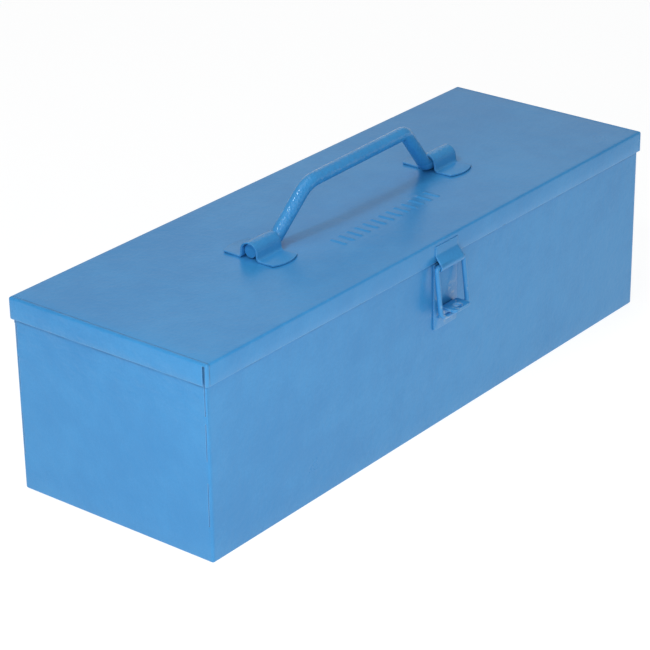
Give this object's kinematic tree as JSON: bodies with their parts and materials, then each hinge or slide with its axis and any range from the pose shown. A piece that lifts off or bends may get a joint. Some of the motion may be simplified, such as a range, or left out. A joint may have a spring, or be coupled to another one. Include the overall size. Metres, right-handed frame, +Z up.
{
  "type": "toolbox with tray",
  "caption": "Long rectangular sheet-steel toolbox with a flanged hinged lid, folding bar handle in saddle clips, wire-loop hasp with padlock staple, and a divided lift-out tray.",
  "frame": {"origin": "middle of the base's flat underside, on the surface the box stands on", "axes": "+X along the box, +Y towards the hinge at the back, +Z up; the hasp is on the front, -Y"},
  "size_m": [0.45, 0.1708, 0.168],
  "materials": {
    "blue_enamel": "glossy light-blue enamel with orange peel, sprayed over the assembled sheet steel",
    "bare_steel": "bright zinc-plated steel"
  },
  "bodies": {
    "box": {"body_shell": "blue_enamel", "hinge_leaf_body": "blue_enamel", "hinge_pin": "bare_steel", "staple_plate": "blue_enamel", "staple_lug": "blue_enamel", "tray_ledge_left": "blue_enamel", "tray_ledge_right": "blue_enamel"},
    "lid": {"lid_shell": "blue_enamel", "hinge_leaf_lid": "blue_enamel", "saddle_clip_left": "blue_enamel", "saddle_clip_right": "blue_enamel", "hasp_strap": "blue_enamel"},
    "handle": {"handle_bar": "blue_enamel"},
    "loop": {"hasp_loop": "blue_enamel"},
    "tray": {"tray_shell": "blue_enamel", "tray_divider_left": "blue_enamel", "tray_divider_right": "blue_enamel", "tray_handle": "blue_enamel", "tray_handle_rivets": "bare_steel"}
  },
  "joints": [
    {"name": "lid_hinge", "type": "hinge", "parent": "box", "child": "lid", "pos_m": [0, 0.0787, 0.1124], "axis": [-1, 0, 0], "range_deg": [0, 195]},
    {"name": "handle_swing", "type": "hinge", "parent": "lid", "child": "handle", "pos_m": [0.0017, -0.0022, 0.1325], "axis": [1, 0, 0], "range_deg": [-95.2, 80.8]},
    {"name": "hasp_swing", "type": "hinge", "parent": "lid", "child": "loop", "pos_m": [0, -0.0794, 0.1112], "axis": [-1, 0, 0], "range_deg": [-5.5, 170]},
    {"name": "tray_lift", "type": "slide", "parent": "box", "child": "tray", "axis": [0, 0, 1], "range_m": [0, 0.05]}
  ],
  "couplings": [
    {"joint": "tray_lift", "follows": "lid_hinge", "m_per_rad": 0.01469}
  ]
}
